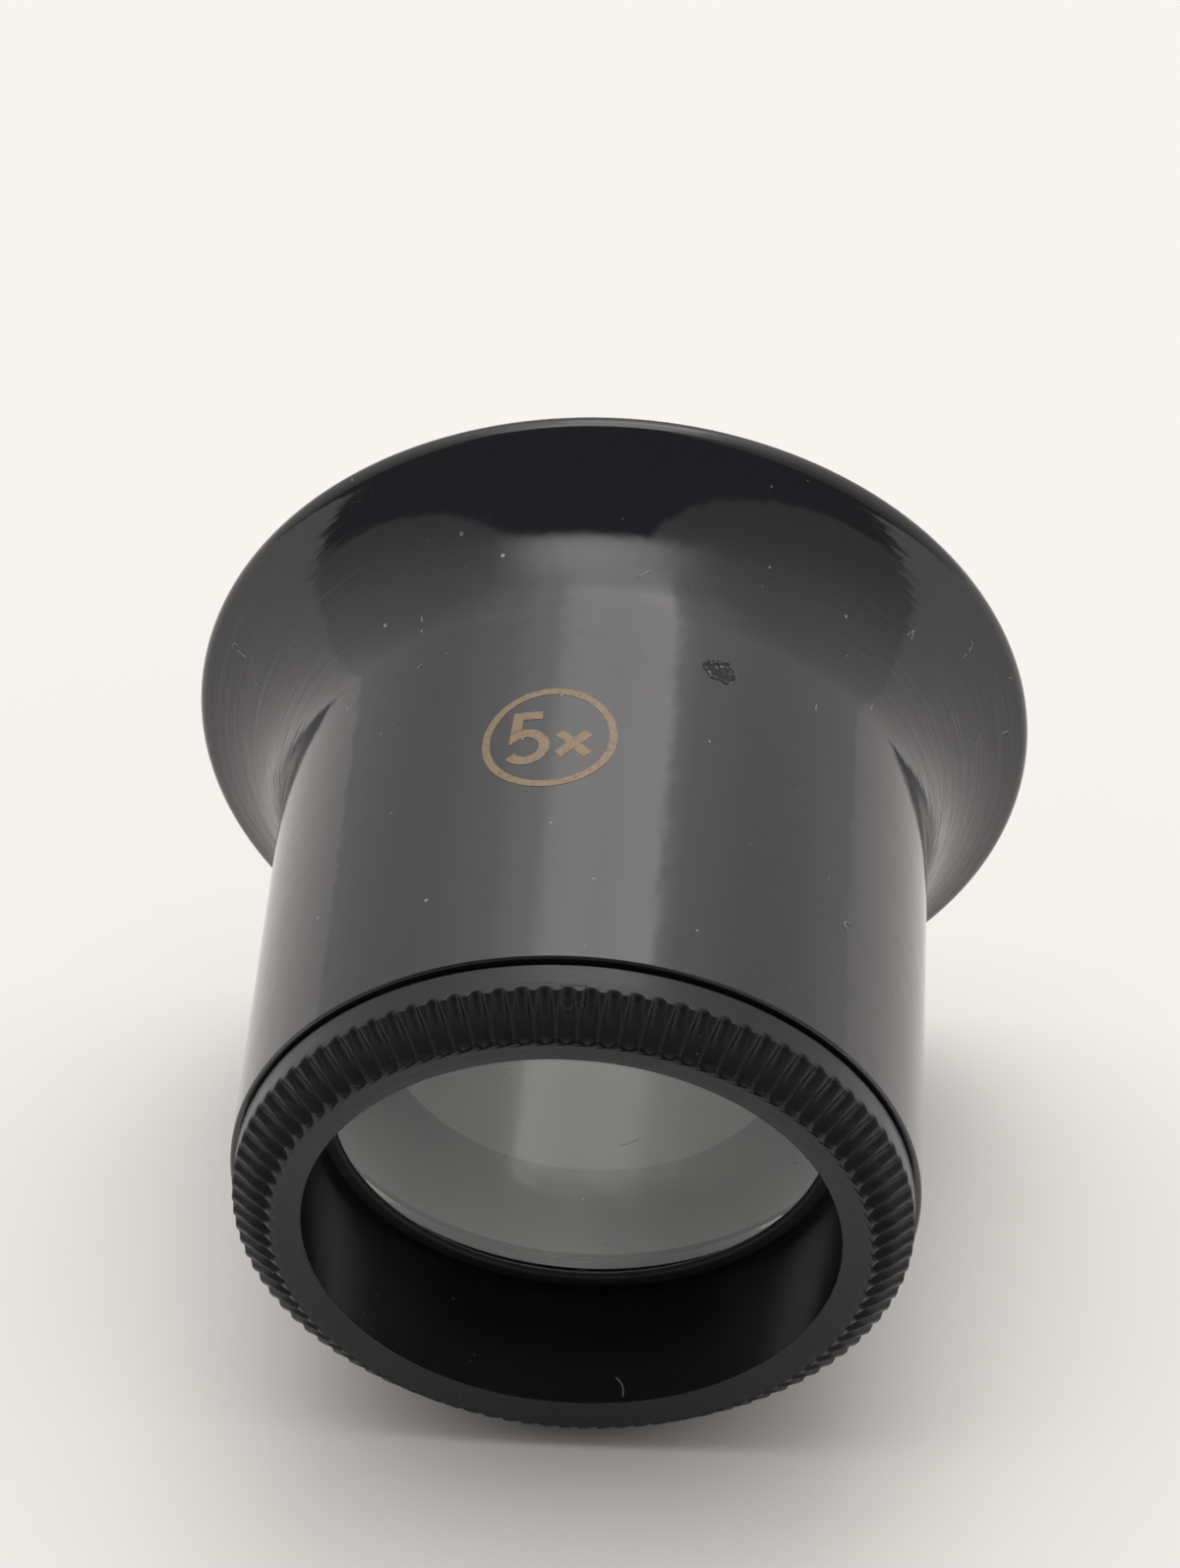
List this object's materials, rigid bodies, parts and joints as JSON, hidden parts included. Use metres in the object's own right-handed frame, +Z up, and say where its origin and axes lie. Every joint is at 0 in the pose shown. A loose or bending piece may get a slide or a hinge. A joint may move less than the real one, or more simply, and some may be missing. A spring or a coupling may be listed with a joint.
{
  "type": "watchmaker's loupe",
  "caption": "Eye loupe with a flared eyecup, a straight barrel and a biconvex lens held by a knurled screw ring.",
  "frame": {"origin": "On the table under the middle of the bounding box, with the loupe lying on its side on the eyecup rim and the screw ring.", "axes": "+X to the right across the loupe seen from the ring end, -Y the way the ring and lens point, +Z up from the table. The optical axis lies in the YZ plane and falls 9.32 degrees below -Y."},
  "size_m": [0.037, 0.0346, 0.0365],
  "materials": {
    "gloss_black": "polished moulded black plastic with fine turning marks",
    "lens_glass": "polished clear glass",
    "gasket_black": "semi-matt black fibre or plastic",
    "satin_black": "satin moulded black plastic"
  },
  "bodies": {
    "barrel": {"eyecup_barrel": "gloss_black"},
    "optics": {"lens": "lens_glass", "lens_gasket": "gasket_black"},
    "ring": {"screw_ring": "satin_black"}
  },
  "joints": [
    {"name": "ring_travel", "type": "slide", "parent": "barrel", "child": "optics", "axis": [0, -0.9868, -0.1619], "range_m": [0, 0.00375]},
    {"name": "ring_turn", "type": "hinge", "parent": "optics", "child": "ring", "pos_m": [0, -0.01328, 0.01382], "axis": [0, -0.9868, -0.1619], "range_deg": [0, 1800]}
  ],
  "couplings": [
    {"joint": "ring_turn", "follows": "ring_travel", "rad_per_m": 8377.6}
  ]
}
